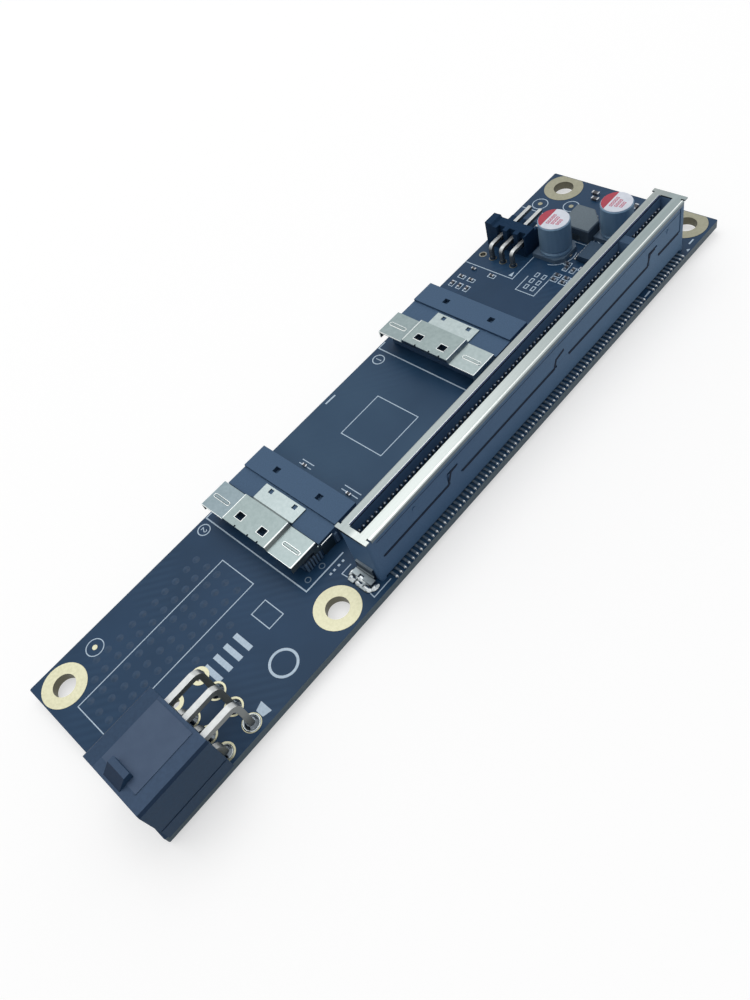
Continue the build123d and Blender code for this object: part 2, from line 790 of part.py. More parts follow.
def inductor_body():
    """The pressed powder block of the inductor, with two of its corners cut away."""
    length, width = inductor_length / 2, inductor_width / 2
    cut = inductor_cut
    outline = [(-length, -width), (length - cut, -width), (length, cut - width),
               (length, width), (cut - length, width), (-length, width - cut)]
    body = Pos(0, 0, inductor_lift) * extrude(make_face(Polyline(*outline, close=True)),
                                              amount=inductor_height - inductor_lift)
    body = chamfer(body.edges().group_by(Axis.Z)[-1], inductor_rim)
    half = inductor_terminal_width / 2
    t = inductor_terminal_thickness
    rise = inductor_terminal_rise
    fold = inductor_terminal_fold
    recesses = [block(-length - 1, t - length, -half, half, -1, rise),
                block(length - t, length + 1, -half, half, -1, rise),
                block(-length - 1, fold - length, -half, half, -1, t),
                block(length - fold, length + 1, -half, half, -1, t)]
    return body - recesses


def inductor_terminals():
    """Two tinned copper strips that fold up the ends of the block."""
    side = inductor_length / 2
    t = inductor_terminal_thickness
    inner = side - inductor_terminal_fold
    outline = [(inner, 0), (side, 0), (side, inductor_terminal_rise),
               (side - t, inductor_terminal_rise), (side - t, t), (inner, t)]
    return [plate_xz([(way * x, z) for x, z in outline], 0, inductor_terminal_width)
            for way in (-1, 1)]


def regulator_body():
    """The black package of the regulator, with drafted sides."""
    length, width = regulator_length, regulator_width
    middle = (regulator_lift + regulator_height) / 2
    lower = Pos(0, 0, regulator_lift) * Rectangle(length - regulator_draft,
                                                  width - regulator_draft)
    waist = Pos(0, 0, middle) * Rectangle(length, width)
    upper = Pos(0, 0, regulator_height) * Rectangle(length - regulator_draft,
                                                    width - regulator_draft)
    return loft([lower, waist]) + loft([waist, upper])


def regulator_lead_set():
    """Gull-wing leads along the two long sides of the regulator."""
    middle = (regulator_lift + regulator_height) / 2
    wall = regulator_width / 2
    t = regulator_lead_thickness
    knee = wall + 2 * t
    ankle = wall + 3 * t
    first = -regulator_pitch * (regulator_leads - 1) / 2
    places = [(first + i * regulator_pitch, 0, 0) for i in range(regulator_leads)]
    outline = [(wall, middle - t / 2), (knee, middle - t / 2), (ankle, 0),
               (wall + regulator_lead_reach, 0), (wall + regulator_lead_reach, t),
               (ankle + t, t), (knee + t, middle + t / 2), (wall, middle + t / 2)]
    result = []
    for way in (-1, 1):
        lead = plate_yz([(way * y, z) for y, z in outline], 0, regulator_lead_width)
        result += copies(lead, places)
    return result


def chip_parts():
    """Bodies and end caps of the chip resistors and capacitors."""
    bodies, caps = [], []
    for (length, width, height, cap), places in ((large_chip, large_chip_places),
                                                 (small_chip, small_chip_places)):
        inner = length / 2 - cap
        for far_margin, y, along in places:
            turn = Location((board_length - far_margin, y, 0), (0, 0, 0 if along else 90))
            bodies.append(block(-inner, inner, -width / 2, width / 2, chip_gap,
                                height - chip_gap).moved(turn))
            for way in (-1, 1):
                edges = sorted((way * inner, way * length / 2))
                caps.append(block(*edges, -width / 2, width / 2, 0, height).moved(turn))
    return bodies, caps


def main_pieces():
    """Write every named piece of the card."""
    os.makedirs("parts", exist_ok=True)
    save("circuit_board", circuit_board())
    save("mounting_hole_plating",
         plated_holes(mounting_bore_radius, mounting_pad_radius, mounting_plating_wall,
                      mounting_places))
    save("alignment_marks", all_solids([rod(mark_radius, x, y, 0, pad_height)
                                        for x, y in mark_places]))

    save("slot_housing", slot_housing())
    save("slot_frame", slot_frame())
    save("slot_contacts_edge_side", slot_contacts(-1))
    save("slot_contacts_inner_side", slot_contacts(1))
    save("slot_anchor_near", slot_anchor(slot_near_x, -1, anchor_foot_near))
    save("slot_anchor_far", slot_anchor(slot_far_x, 1, anchor_foot_far))

    pieces = {"housing": receptacle_housing(), "rear_cover": receptacle_rear_cover(),
              "shell": receptacle_shell(), "upper_contacts": upper_contacts(),
              "lower_contacts": lower_contacts()}
    for number, front in enumerate(receptacle_fronts, start=1):
        place = Location((front, receptacle_centre_y, 0))
        for name, piece in pieces.items():
            save(f"receptacle_{number}_{name}", piece.moved(place))

    save("power_header_housing", power_header_housing())
    save("power_hole_plating", plated_holes(power_hole_radius, power_pad_radius, plating_wall,
                                            power_places))
    end = -board_thickness - pin_tail
    feet = []
    for i, (y, z) in enumerate(power_cells()):
        upper = i >= power_columns
        foot_x = power_far_row_x if upper else power_near_row_x
        pin = bent_pin(pin_start_x, foot_x, z, end, pin_thickness, pin_bend_radius)
        row = "upper" if upper else "lower"
        save(f"power_pin_{row}_{i % power_columns + 1}", pin.moved(Location((0, y, 0))))
        feet.append((foot_x, y))
    save("power_solder_joints", solder_joints(pin_thickness, power_pad_radius, feet))

    save("aux_header_housing", aux_header_housing())
    save("aux_hole_plating", plated_holes(aux_hole_radius, aux_pad_radius, plating_wall,
                                          aux_places))
    aux_pin = bent_pin(-aux_foot_x - aux_pin_length, -aux_foot_x, aux_pin_height, end,
                       aux_pin_size, aux_pin_bend_radius)
    aux_pin = mirror(aux_pin, Plane.YZ)
    for number, y in enumerate(aux_ys, start=1):
        save(f"aux_pin_{number}", aux_pin.moved(Location((0, y, 0))))
    save("aux_solder_joints", solder_joints(aux_pin_size, aux_pad_radius,
                                            [(aux_foot_x, y) for y in aux_ys]))

    for number, (far_margin, y) in enumerate(capacitor_places, start=1):
        place = (board_length - far_margin, y, 0)
        save(f"capacitor_{number}_base", capacitor_base().moved(Location(place)))
        save(f"capacitor_{number}_can", capacitor_can().moved(Location(place)))
        save(f"capacitor_{number}_leads", all_solids(copies_of(capacitor_leads(), place)))
    place = (board_length - inductor_far_margin, inductor_y, 0)
    save("inductor_body", inductor_body().moved(Location(place)))
    save("inductor_terminals", all_solids(copies_of(inductor_terminals(), place)))
    place = (board_length - regulator_far_margin, regulator_y, 0)
    save("regulator_body", regulator_body().moved(Location(place)))
    save("regulator_leads", all_solids(copies_of(regulator_lead_set(), place)))
    bodies, caps = chip_parts()
    save("chip_bodies", all_solids(bodies))
    save("chip_end_caps", all_solids(caps))


main_pieces()
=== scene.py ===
import math

import bpy
import numpy as np
from mathutils import Matrix, Vector


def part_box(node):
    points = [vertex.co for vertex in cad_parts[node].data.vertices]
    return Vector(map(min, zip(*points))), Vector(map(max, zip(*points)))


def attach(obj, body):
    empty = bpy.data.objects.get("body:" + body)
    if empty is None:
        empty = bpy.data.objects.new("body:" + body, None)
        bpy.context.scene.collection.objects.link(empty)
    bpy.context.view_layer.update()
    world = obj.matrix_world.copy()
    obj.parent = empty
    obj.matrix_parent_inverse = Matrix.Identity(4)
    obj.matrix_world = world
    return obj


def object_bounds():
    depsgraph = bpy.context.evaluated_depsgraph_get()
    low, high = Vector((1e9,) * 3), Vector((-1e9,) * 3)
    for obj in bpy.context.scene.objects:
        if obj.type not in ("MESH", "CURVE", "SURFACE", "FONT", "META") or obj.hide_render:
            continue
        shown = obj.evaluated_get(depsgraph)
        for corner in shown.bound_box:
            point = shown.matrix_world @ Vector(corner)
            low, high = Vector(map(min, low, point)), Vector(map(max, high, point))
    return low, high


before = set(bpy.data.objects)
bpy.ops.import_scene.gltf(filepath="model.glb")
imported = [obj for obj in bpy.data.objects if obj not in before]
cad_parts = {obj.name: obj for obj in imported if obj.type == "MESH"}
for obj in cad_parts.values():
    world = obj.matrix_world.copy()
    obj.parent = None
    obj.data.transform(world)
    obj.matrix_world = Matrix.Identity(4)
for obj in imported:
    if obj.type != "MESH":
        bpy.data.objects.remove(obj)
size_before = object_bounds()

# The circuit board is a glass laminate panel with copper tracks on both faces, covered with
# a dark blue solder mask. The mask is sprayed on and cured, so it is smooth, shows the tracks
# under it as faint ridges, and leaves the routed edges bare.
MM = 0.001
board_low, board_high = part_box("circuit_board")


def feed(tree, socket, value):
    """Set a number or a colour on a socket, or link another node's output to it."""
    if isinstance(value, tuple):
        socket.default_value = (*value, 1.0)
    elif isinstance(value, (int, float)):
        socket.default_value = value
    else:
        tree.links.new(value, socket)


def new_shader(name, colour, roughness, metallic=0.0, specular=0.5):
    """A material with one principled shader, whose plain numbers sit on its sockets."""
    material = bpy.data.materials.new(name)
    material.use_nodes = True
    tree = material.node_tree
    shader = tree.nodes["Principled BSDF"]
    for socket, value in (("Base Color", colour), ("Roughness", roughness),
                          ("Metallic", metallic), ("Specular IOR Level", specular)):
        feed(tree, shader.inputs[socket], value)
    return material, tree, shader


def object_place(tree, stretch=(1.0, 1.0, 1.0), turn=0.0):
    """The piece's own coordinates in metres, stretched and turned about the vertical."""
    coordinates = tree.nodes.new("ShaderNodeTexCoord")
    mapping = tree.nodes.new("ShaderNodeMapping")
    mapping.inputs["Scale"].default_value = stretch
    mapping.inputs["Rotation"].default_value = (0.0, 0.0, turn)
    tree.links.new(coordinates.outputs["Object"], mapping.inputs["Vector"])
    return mapping.outputs["Vector"]


def upward(tree):
    """How far a face looks up: 1 on level tops, 0 on upright walls and -1 underneath."""
    coordinates = tree.nodes.new("ShaderNodeTexCoord")
    directions = tree.nodes.new("ShaderNodeSeparateXYZ")
    tree.links.new(coordinates.outputs["Normal"], directions.inputs["Vector"])
    return directions.outputs["Z"]


def noise(tree, scale, detail=4.0, stretch=(1.0, 1.0, 1.0)):
    """Noise on the piece's own coordinates; scale is in waves per metre."""
    texture = tree.nodes.new("ShaderNodeTexNoise")
    texture.inputs["Scale"].default_value = scale
    texture.inputs["Detail"].default_value = detail
    tree.links.new(object_place(tree, stretch), texture.inputs["Vector"])
    return texture.outputs["Fac"]


def ramp(tree, factor, low, high, start=0.3, stop=0.7):
    """Two colours mixed by a factor, with the change between start and stop."""
    node = tree.nodes.new("ShaderNodeValToRGB")
    for element, place, colour in zip(node.color_ramp.elements, (start, stop), (low, high)):
        element.position = place
        element.color = (*colour, 1.0)
    tree.links.new(factor, node.inputs["Fac"])
    return node.outputs["Color"]


def spread(tree, factor, low, high, start=0.0, stop=1.0):
    """A factor between start and stop, stretched to run from low to high."""
    node = tree.nodes.new("ShaderNodeMapRange")
    for socket, value in (("Value", factor), ("From Min", start), ("From Max", stop),
                          ("To Min", low), ("To Max", high)):
        feed(tree, node.inputs[socket], value)
    return node.outputs["Result"]


def blend_colours(tree, factor, first, second, way="MIX"):
    """The first colour where the factor is 0; where it is 1, the second or their product."""
    node = tree.nodes.new("ShaderNodeMix")
    node.data_type = "RGBA"
    node.blend_type = way
    sockets = {s.identifier: s for s in node.inputs}
    for identifier, value in (("Factor_Float", factor), ("A_Color", first),
                              ("B_Color", second)):
        feed(tree, sockets[identifier], value)
    return {s.identifier: s for s in node.outputs}["Result_Color"]


def combine(tree, operation, first, second=0.0):
    """Arithmetic on two factors, or on a factor and a number."""
    node = tree.nodes.new("ShaderNodeMath")
    node.operation = operation
    for socket, value in zip(node.inputs, (first, second)):
        feed(tree, socket, value)
    return node.outputs["Value"]


def between(tree, axis, origin, start, stop):
    """A factor that runs from 0 to 1 between two places along an axis, in board millimetres."""
    parts = tree.nodes.new("ShaderNodeSeparateXYZ")
    tree.links.new(object_place(tree), parts.inputs["Vector"])
    return spread(tree, parts.outputs[axis], 0.0, 1.0, origin + start * MM, origin + stop * MM)


def along_card(tree, start, stop):
    """A factor that runs from 0 to 1 between two places along the board."""
    return between(tree, "X", board_low.x, start, stop)


def paint(tree, shader, colour, grain, smooth, rough):
    """Give a shader its worked-out colour, and a roughness that follows the grain."""
    tree.links.new(colour, shader.inputs["Base Color"])
    tree.links.new(spread(tree, grain, smooth, rough), shader.inputs["Roughness"])


def add_bump(tree, shader, height, distance, strength=0.6):
    """Small relief on the surface, worked out from a height between 0 and 1."""
    node = tree.nodes.new("ShaderNodeBump")
    node.inputs["Strength"].default_value = strength
    node.inputs["Distance"].default_value = distance
    tree.links.new(height, node.inputs["Height"])
    tree.links.new(node.outputs["Normal"], shader.inputs["Normal"])


def dress(material, *names):
    """Put one finish on CAD nodes."""
    for name in names:
        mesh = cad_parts[name].data
        mesh.materials.clear()
        mesh.materials.append(material)


def solder_mask():
    """Dark blue mask: slow colour drift, faint diagonal tracks, and bare laminate edges."""
    material, tree, shader = new_shader("solder_mask", (0.012, 0.047, 0.104), 0.4, 0.0, 0.2)
    drift = noise(tree, 60, 3.0)
    mask = ramp(tree, drift, (0.010, 0.041, 0.092), (0.018, 0.056, 0.122))

    # tracks run in diagonal bundles, as ridges under the mask
    tracks = tree.nodes.new("ShaderNodeTexWave")
    tracks.inputs["Scale"].default_value = 230
    tracks.inputs["Distortion"].default_value = 0.8
    tracks.inputs["Detail"].default_value = 0.0
    tree.links.new(object_place(tree, turn=math.radians(-50)), tracks.inputs["Vector"])
    bundles = spread(tree, noise(tree, 70, 0.0), 0.0, 1.0, 0.48, 0.6)
    ridges = combine(tree, "MULTIPLY", tracks.outputs["Fac"], bundles)
    mask = blend_colours(tree, combine(tree, "MULTIPLY", ridges, 0.34), mask,
                         (0.024, 0.068, 0.140))

    # the middle of the board, between the receptacles, is a little paler
    middle = combine(tree, "MINIMUM", along_card(tree, 46, 62), along_card(tree, 90, 76))
    middle = combine(tree, "MULTIPLY", middle, spread(tree, drift, 0.5, 1.0, 0.35, 0.65))
    mask = blend_colours(tree, middle, mask, (0.032, 0.078, 0.142))

    # the routed edges show the glass weave
    upright = combine(tree, "LESS_THAN", combine(tree, "ABSOLUTE", upward(tree)), 0.5)
    weave = ramp(tree, noise(tree, 2500, 2.0, (1.0, 1.0, 4.0)), (0.045, 0.085, 0.118),
                 (0.070, 0.122, 0.160))
    paint(tree, shader, blend_colours(tree, upright, mask, weave), drift, 0.32, 0.44)
    fine = combine(tree, "MULTIPLY", noise(tree, 1500, 2.0), 0.25)
    add_bump(tree, shader, combine(tree, "ADD", ridges, fine), 0.000008, 0.5)
    return material


dress(solder_mask(), "circuit_board")

# Vias are small plated holes that join the copper of both faces. These are closed by the
# mask, stand in even rows between the power header and the near receptacle, and show as low
# round swellings.
via_pitch, via_row_step = 2.54, 2.6
via_radius, via_height, via_sink = 0.75, 0.15, 0.002
via_scatter = 0.2
near_hole, hole_room = (4.3, 32.8), 5
extra_via_x, extra_via_y = 21.0, 17.3


def finish_with_grain(name, dark, light, roughness, scale, relief, metallic=0.0,
                      stretch=(1.0, 1.0, 1.0), specular=0.5):
    """A finish whose shade, gloss and relief all follow one noise."""
    middle = tuple((a + b) / 2 for a, b in zip(dark, light))
    material, tree, shader = new_shader(name, middle, roughness, metallic, specular)
    grain = noise(tree, scale, 5.0, stretch)
    paint(tree, shader, ramp(tree, grain, dark, light), grain, roughness * 0.8, roughness * 1.2)
    if relief:
        add_bump(tree, shader, grain, relief)
    return material


def dome(x, y, z, radii, rings=3, around=10):
    """The upper half of an ellipsoid: latitude times longitude, closed by its top point."""
    latitude = np.linspace(0.0, math.pi / 2, rings + 1)[:-1]
    longitude = np.arange(around) * 2 * math.pi / around
    a, b = np.meshgrid(latitude, longitude, indexing="ij")
    points = np.stack([x + radii[0] * np.cos(a) * np.cos(b),
                       y + radii[1] * np.cos(a) * np.sin(b),
                       z + radii[2] * np.sin(a)], -1).reshape(-1, 3)
    points = np.vstack([points, [[x, y, z + radii[2]]]])
    i, j = np.meshgrid(np.arange(rings - 1), np.arange(around), indexing="ij")
    j2 = (j + 1) % around
    quads = np.stack([i * around + j, i * around + j2, (i + 1) * around + j2,
                      (i + 1) * around + j], -1).reshape(-1, 4).tolist()
    last, k = (rings - 1) * around, np.arange(around)
    tip = np.stack([last + k, last + (k + 1) % around, np.full(around, rings * around)], 1)
    return points, quads + tip.tolist() + [k[::-1].tolist()]


def swelling(x, y, radius, height, rings=5, around=16):
    """A soft round swelling: its height falls from the middle as half of one plus a cosine."""
    points, faces = dome(0.0, 0.0, 0.0, (radius, radius, height), rings, around)
    reach = np.clip(np.hypot(points[:, 0], points[:, 1]) / radius, 0.0, 1.0)
    points[:, 2] = height * 0.5 * (1 + np.cos(math.pi * reach)) - via_sink
    return points + np.array([x, y, 0.0]), faces


def build(name, shapes, material, smooth=False):
    """One piece from a list of shapes in board millimetres, riding on the card."""
    counts = np.cumsum([0] + [len(points) for points, _ in shapes])
    points = np.vstack([points for points, _ in shapes]) * MM
    points += np.array([board_low.x, board_low.y, board_high.z])
    faces = [[start + corner for corner in face]
             for start, (_, shape_faces) in zip(counts.tolist(), shapes)
             for face in shape_faces]
    mesh = bpy.data.meshes.new(name)
    mesh.from_pydata(points.tolist(), [], faces)
    mesh.materials.append(material)
    if smooth:
        mesh.polygons.foreach_set("use_smooth", [True] * len(faces))
    mesh.update()
    piece = bpy.data.objects.new(name, mesh)
    bpy.context.collection.objects.link(piece)
    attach(piece, "root")


via_xs = 5.5 + via_pitch * np.arange(12)
via_ys = 21.4 + via_row_step * np.arange(5)
vias = np.stack(np.meshgrid(via_xs, via_ys), -1).reshape(-1, 2)
vias = vias[np.hypot(vias[:, 0] - near_hole[0], vias[:, 1] - near_hole[1]) > hole_room]
vias = np.vstack([vias, [(extra_via_x + via_pitch * i, extra_via_y) for i in range(4)]])
vias = vias + np.random.default_rng(7).uniform(-via_scatter, via_scatter, vias.shape)
via_mask = finish_with_grain("via_mask", (0.012, 0.045, 0.099), (0.020, 0.059, 0.124), 0.36,
                             900, 0.0, specular=0.3)
build("tented_vias", [swelling(x, y, via_radius, via_height) for x, y in vias.tolist()],
      via_mask, smooth=True)

# The printed marks are pale ink about a hundredth of a millimetre thick: outlines of the
# parts, rings round the alignment marks, four blocks that count the copper layers, and other
# plain shapes.
ink_height = 0.014
digit_line, fine_line, bold_line = 0.15, 0.17, 0.24
spot_ring_radius, number_ring_radius = 1.6, 1.15
capacitor_places = ((125.0, 22.55), (134.1, 14.6))


def carry(path, profile, closed=False):
    """A profile of points across and up, carried along a flat path and mitred at its turns.

    Each path point is moved sideways by the across value over the cosine of half the turn.
    """
    path = np.asarray(path, float)
    profile = np.asarray(profile, float)
    if closed:
        before, after = np.roll(path, 1, 0), np.roll(path, -1, 0)
    else:
        before = np.vstack([2 * path[:1] - path[1:2], path[:-1]])
        after = np.vstack([path[1:], 2 * path[-1:] - path[-2:-1]])
    arriving = path - before
    leaving = after - path
    arriving /= np.linalg.norm(arriving, axis=1, keepdims=True)
    leaving /= np.linalg.norm(leaving, axis=1, keepdims=True)
    heading = arriving + leaving
    heading /= np.linalg.norm(heading, axis=1, keepdims=True)
    side = np.stack([-heading[:, 1], heading[:, 0]], 1)
    side /= np.maximum((arriving * heading).sum(1, keepdims=True), 0.4)
    rows, columns = len(path), len(profile)
    flat = path[:, None, :] + side[:, None, :] * profile[None, :, :1]
    up = np.broadcast_to(profile[None, :, 1:], (rows, columns, 1))
    points = np.concatenate([flat, up], 2).reshape(-1, 3)
    i, j = np.meshgrid(np.arange(rows if closed else rows - 1), np.arange(columns),
                       indexing="ij")
    i2, j2 = (i + 1) % rows, (j + 1) % columns
    quads = np.stack([i * columns + j, i * columns + j2, i2 * columns + j2, i2 * columns + j], -1)
    faces = quads.reshape(-1, 4).tolist()
    if not closed:
        faces.append(list(range(columns))[::-1])
        faces.append(list(range((rows - 1) * columns, rows * columns)))
    return points, faces


def slab(outline, bottom, top):
    """A flat outline, listed anticlockwise from above, raised between two heights."""
    flat = np.asarray(outline, float)
    n = len(flat)
    low = np.column_stack([flat, np.full(n, bottom)])
    high = np.column_stack([flat, np.full(n, top)])
    k = np.arange(n)
    sides = np.stack([k, (k + 1) % n, (k + 1) % n + n, k + n], 1).tolist()
    return np.vstack([low, high]), sides + [k[::-1].tolist(), (k + n).tolist()]


def corners(x0, x1, y0, y1):
    """The corners of a rectangle between its limits, anticlockwise from above."""
    return [(x0, y0), (x1, y0), (x1, y1), (x0, y1)]


def box(x0, x1, y0, y1, z0, z1):
    """A small rectangular block between pairs of limits."""
    return slab(corners(x0, x1, y0, y1), z0, z1)


def strip(width, height):
    """The profile of a flat strip: half its width to each side, and its height up."""
    return [(-width / 2, 0), (width / 2, 0), (width / 2, height), (-width / 2, height)]


def line(points, width=fine_line, closed=False):
    """A printed line of a given width: a strip carried along its points."""
    return carry(points, strip(width, ink_height), closed)


def circle_points(x, y, radius, count=40, start=0.0, stop=360.0):
    """Points round a circle or an arc, in degrees anticlockwise from the long way."""
    turn = np.radians(np.linspace(start, stop, count, endpoint=(stop - start) < 360))
    return np.column_stack([x + radius * np.cos(turn), y + radius * np.sin(turn)])


def ring(x, y, radius, width=fine_line):
    """A printed ring: a line closed round a circle."""
    return line(circle_points(x, y, radius), width, closed=True)


def box_outline(x0, x1, y0, y1):
    """A printed rectangle."""
    return line(corners(x0, x1, y0, y1), closed=True)


def pad_outlines(length, width, places):
    """Printed rectangles of one size about their middles, round bare pads."""
    return [box_outline(x - length / 2, x + length / 2, y - width / 2, y + width / 2)
            for x, y in places]


prints = [
    # the field of the vias, the place of a chip, and a tick by the cable-side edge
    box_outline(3.6, 36.0, 19.65, 27.75),
    box_outline(67.5, 77.75, 18.95, 28.9),
    line([(71.1, 36.5), (73.7, 36.4)], 0.35),
    # rings round the alignment marks
    *[ring(x, y, spot_ring_radius) for x, y in ((11.7, 34.0), (135.8, 34.25), (137.7, 27.9))],
    # the receptacles' numbers, 2 and 1, each in a ring
    ring(38.24, 35.5, number_ring_radius, 0.2),
    ring(84.8, 35.1, number_ring_radius, 0.2),
    line([(38.54, 35.2), (38.39, 34.95), (38.1, 34.95), (37.95, 35.2), (38.5, 36.0),
          (37.9, 36.0)], digit_line),
    line([(85.0, 34.65), (84.8, 34.5), (84.8, 35.7)], digit_line),
    # outlines of the receptacles and of the slot's two ends
    line([(42.2, 37.1), (40.2, 37.1), (40.2, 10.95), (49.1, 10.95)], bold_line),
    line([(89.0, 37.1), (87.1, 37.1), (87.1, 8.2)], bold_line),
    line([(48.2, 8.3), (46.0, 8.3), (46.1, 6.8)]),
    line([(46.05, 2.05), (45.9, 0.95), (49.95, 0.97)]),
    line([(121.6, 0.66), (123.3, 0.72)], 0.3),
    line([(137.4, 1.2), (138.9, 1.2)], 0.3),
    # arrows at the first contact of the slot and the first pin of the power header
    slab([(135.4, 0.3), (136.3, 0.3), (135.85, 0.85)], 0, ink_height),
    slab([(21.2, 1.5), (22.75, 1.1), (22.75, 3.55), (21.2, 3.05)], 0, ink_height),
    # outlines of the small header, the inductor and the second capacitor
    line([(114.57, 37.2), (114.57, 25.6), (133.5, 25.6), (133.5, 37.2)]),
    slab([(115.1, 26.1), (116.4, 26.5), (115.1, 26.95)], 0, ink_height),
    line([(119.3, 19.0), (112.5, 19.0), (112.5, 23.3), (116.65, 23.3)]),
    line([(128.9, 21.0), (128.9, 17.65), (132.4, 17.65)], 0.15),
    # a plain ring and a plain box
    ring(29.2, 5.1, 2.3, 0.45),
    box_outline(31.9, 35.1, 11.3, 15.7),
]
prints += [box(x, x + 1.0, 11.3, 15.3, 0, ink_height) for x in (20.6, 22.8, 25.0, 27.2)]
prints += [box(x - 0.22, x + 0.22, 9.65, 10.05, 0, ink_height) for x in (47.9, 46.9, 45.8, 44.9)]
prints += pad_outlines(1.1, 0.64, [(x, y) for x in (114.1, 115.9, 117.7) for y in (20.3, 21.9)])
prints += pad_outlines(1.5, 0.9, [(121.7, 16.4), (121.7, 18.0), (117.2, 14.0), (119.0, 14.0),
                                  (108.2, 35.7), (108.2, 33.9), (108.2, 32.1)])
prints += pad_outlines(0.9, 1.5, [(122.9, 18.4), (122.7, 14.9), (119.3, 18.3), (118.0, 18.3),
                                  (119.3, 16.2), (118.0, 16.2), (110.6, 35.2), (110.6, 32.8),
                                  (113.4, 29.8)])
prints += [line([(x, y0), (x, y1)], 0.18)
           for x in (58.4, 59.3) for y0, y1 in ((28.0, 31.0), (16.2, 20.2))]
prints += [line(circle_points(x, y, 4.0, 20, start, stop), 0.16)
           for (x, y), (start, stop) in zip(capacitor_places, ((190, 290), (100, 170)))]
ink = finish_with_grain("board_ink", (0.42, 0.54, 0.66), (0.52, 0.64, 0.76), 0.55, 2600, 0.000004)
build("printed_marks", prints, ink)
# Two rings beside the near receptacle's end are printed in a darker ink, which is painted shade
# for the receptacle's shadow.
painted_shade_ink = finish_with_grain("board_ink_in_shade", (0.13, 0.19, 0.26), (0.18, 0.25, 0.33), 0.55,
                              2600, 0.000004)
build("shaded_marks", [ring(45.16, 12.16, 0.5, 0.16), ring(41.91, 12.29, 0.5, 0.16)], painted_shade_ink)


# The copper rings and barrels of the holes are plated with matt gold, and the round
# alignment marks are bare spots of the same plating. The small header's holes are duller.
def facing_up(tree, start=0.9, stop=0.97):
    """1 on faces of the piece that look up, and 0 on its sides and slopes."""
    return spread(tree, upward(tree), 0.0, 1.0, start, stop)


def matt_gold():
    """Matt gold with a fine grain; painted light makes it lighter at the near end and darker
    towards the far end, and painted shade darkens its bore walls.
    """
    material, tree, shader = new_shader("gold_plating", (0.62, 0.59, 0.40), 0.42, 0.75)
    grain = noise(tree, 2200, 5.0)
    near_end_highlight = ramp(tree, grain, (0.64, 0.625, 0.43), (0.75, 0.735, 0.53))
    far_end_shade = ramp(tree, grain, (0.31, 0.305, 0.225), (0.37, 0.365, 0.275))
    shade = blend_colours(tree, along_card(tree, 12, 140), near_end_highlight, far_end_shade)
    shade = blend_colours(tree, facing_up(tree, 0.3, 0.6), (0.15, 0.145, 0.105), shade)
    paint(tree, shader, shade, grain, 0.34, 0.5)
    add_bump(tree, shader, grain, 0.000006)
    return material


dress(matt_gold(), "mounting_hole_plating", "power_hole_plating", "alignment_marks")
dull_gold = finish_with_grain("dull_plating", (0.20, 0.20, 0.18), (0.30, 0.30, 0.26), 0.35,
                              2500, 0.000004, metallic=1.0)
dress(dull_gold, "aux_hole_plating")

# The slot's body is one moulding in dark blue-grey plastic, with a fine spark texture and a
# stepped groove along its side. Its inner lip shows as a thin line beside the steel frame.
slot_near, slot_far, slot_top = 48.7, 135.9, 11.28
slot_side_y = 1.63
groove_low, groove_high = 4.95, 9.3


def moulded(name, top, side, roughness, scale, relief, specular, far_side=None, slope=None):
    """Moulded plastic: a fine matt grain, and painted light and shade: a colour each for its top,
    its sides and its slopes, and sides that can grow lighter towards the far end.
    """
    material, tree, shader = new_shader(name, top, roughness, 0.0, specular)
    grain = noise(tree, scale, 4.0)
    if far_side:
        side = blend_colours(tree, along_card(tree, 70, 125), side, far_side)
    if slope:
        side = blend_colours(tree, facing_up(tree, 0.2, 0.4), side, slope)
    shade = blend_colours(tree, facing_up(tree), side, top)
    tint = ramp(tree, grain, (0.86, 0.86, 0.86), (1.0, 1.0, 1.0))
    paint(tree, shader, blend_colours(tree, 1.0, shade, tint, "MULTIPLY"), grain,
          roughness * 0.85, roughness * 1.15)
    add_bump(tree, shader, grain, relief)
    return material


def side_strip(path, width, proud=0.012):
    """A strip along a path of x and z, turned up to lie on the slot's edge-side face."""
    points, faces = carry(path, strip(width, proud))
    turned = np.column_stack([points[:, 0], slot_side_y - points[:, 2], points[:, 1]])
    return turned, faces


# Painted light: the slot's sides are lighter than its top, and lighter again towards the far end.
slot_plastic = moulded("slot_plastic", (0.050, 0.095, 0.165), (0.092, 0.178, 0.320), 0.5, 4200,
                       0.000008, 0.1, (0.160, 0.275, 0.440))
dress(slot_plastic, "slot_housing")
lip_plastic = moulded("slot_lip", (0.04, 0.062, 0.13), (0.02, 0.03, 0.07), 0.45, 4200, 0.0, 0.1)
build("slot_inner_lip", [box(slot_near + 1.2, slot_far - 1.2, 5.93, 6.24, slot_top - 0.05,
                             slot_top + 0.01)], lip_plastic)
# Dark strips on the edge-side face are painted shadow in and under the stepped groove.
shade_plastic = moulded("slot_shade", (0.008, 0.02, 0.045), (0.008, 0.02, 0.045), 0.6, 4200, 0.0,
                        0.1)
build("slot_groove_painted_shadow",
      [side_strip([(51.0, groove_low), (66.6, groove_low), (67.8, 7.3), (69.3, 7.45)], 0.5),
       side_strip([(70.2, groove_low), (95.3, groove_low), (96.0, 6.6), (98.3, 7.1)], 0.58),
       side_strip([(99.6, groove_low), (123.7, groove_low), (124.6, 7.2), (126.2, 7.35)], 0.62),
       side_strip([(127.4, groove_low), (134.0, groove_low)], 0.62),
       side_strip([(50.5, groove_high), (134.4, groove_high)], 0.12)],
      shade_plastic)
build("slot_side_patch", [side_strip([(96.1, groove_low), (99.4, groove_low)], 0.8, 0.008)],
      slot_plastic)

# The frame round the top of the slot is bright steel strip, folded over the moulding, with long
# rolling lines. Painted highlights lie along its folded and cut edges: a tilted strip and a thin
# bead of near-white steel.
outer_margin, inner_margin = 0.9, 1.2


def across_card(tree, start, stop):
    """A factor that runs from 0 to 1 between two places across the board."""
    return between(tree, "Y", board_low.y, start, stop)


